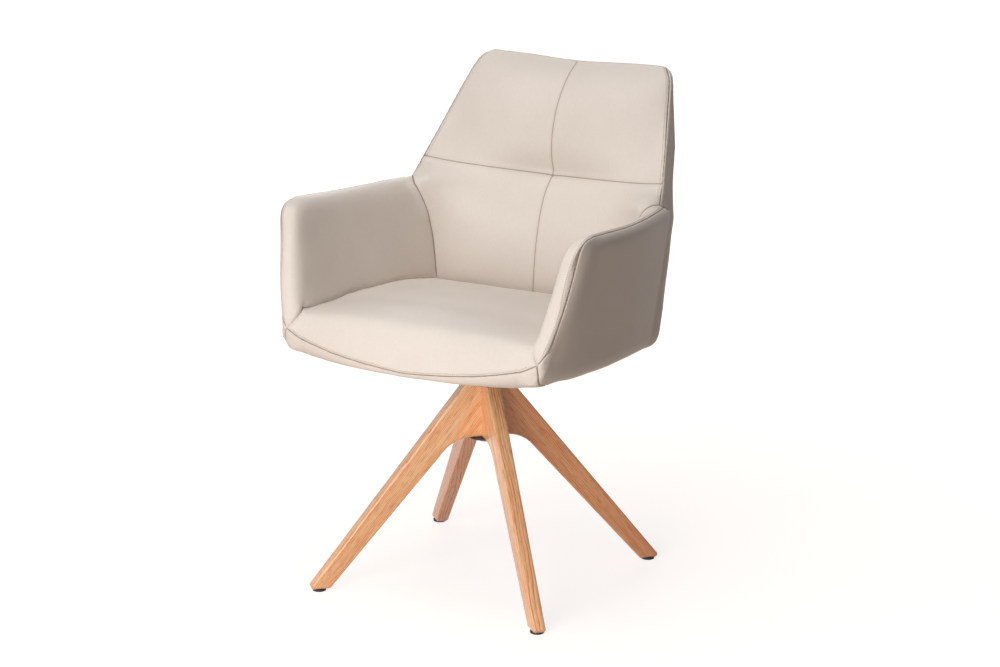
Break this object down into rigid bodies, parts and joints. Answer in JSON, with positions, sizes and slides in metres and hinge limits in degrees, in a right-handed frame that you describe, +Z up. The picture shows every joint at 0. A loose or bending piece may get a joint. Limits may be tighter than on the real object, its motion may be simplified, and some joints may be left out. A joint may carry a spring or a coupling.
{
  "type": "swivel armchair",
  "caption": "Upholstered shell armchair with padded seat, low arms and flared back, turning on a splayed wooden base of mitred legs.",
  "frame": {"origin": "on the floor, under the middle of the outer box; the swivel axis stands 27 mm in front of it", "axes": "+Z up, -Y towards the front of the seat, +X to the right of a person looking from behind the chair"},
  "size_m": [0.5942, 0.635, 0.8732],
  "materials": {
    "oak": "matt oiled oak",
    "plywood": "sanded plywood",
    "cream_leather": "soft cream leather with sewn seams",
    "black_steel": "black powder coat",
    "zinc_steel": "bright zinc plating",
    "cage_brass": "stamped brass",
    "bush_plastic": "off-white moulded plastic",
    "glide_plastic": "black moulded plastic",
    "black_cloth": "thin non-woven black cloth"
  },
  "bodies": {
    "base": {"leg_front_left": "oak", "leg_front_right": "oak", "leg_back_left": "oak", "leg_back_right": "oak", "glide_front_left": "glide_plastic", "glide_front_right": "glide_plastic", "glide_back_left": "glide_plastic", "glide_back_right": "glide_plastic", "glide_screws": "zinc_steel", "lower_plate": "black_steel", "lower_plate_screws": "black_steel", "socket_tube": "black_steel", "flange_screws": "zinc_steel", "upper_bush": "bush_plastic", "lower_bush": "bush_plastic", "bearing_lower_race": "zinc_steel", "ball_cage": "cage_brass", "bearing_balls": "zinc_steel"},
    "seat": {"bearing_upper_race": "zinc_steel", "swivel_spindle": "zinc_steel", "retaining_washer": "zinc_steel", "retaining_clip": "zinc_steel", "seat_plate_bolts": "zinc_steel", "tee_nuts": "zinc_steel", "arm_board_screws": "zinc_steel", "back_board_screws": "zinc_steel", "dust_cover_staples": "zinc_steel", "seat_plate": "black_steel", "seat_board": "plywood", "arm_board_left": "plywood", "arm_board_right": "plywood", "back_board": "plywood", "rear_rail": "plywood", "seat_cushion": "cream_leather", "arm_pad_left": "cream_leather", "arm_pad_right": "cream_leather", "back_pad": "cream_leather", "front_band": "cream_leather", "arm_cover_left": "cream_leather", "arm_cover_right": "cream_leather", "back_cover": "cream_leather", "dust_cover": "black_cloth"}
  },
  "joints": [
    {"name": "swivel", "type": "hinge", "parent": "base", "child": "seat", "pos_m": [0, -0.027, 0.36], "axis": [0, 0, 1], "continuous": true}
  ]
}
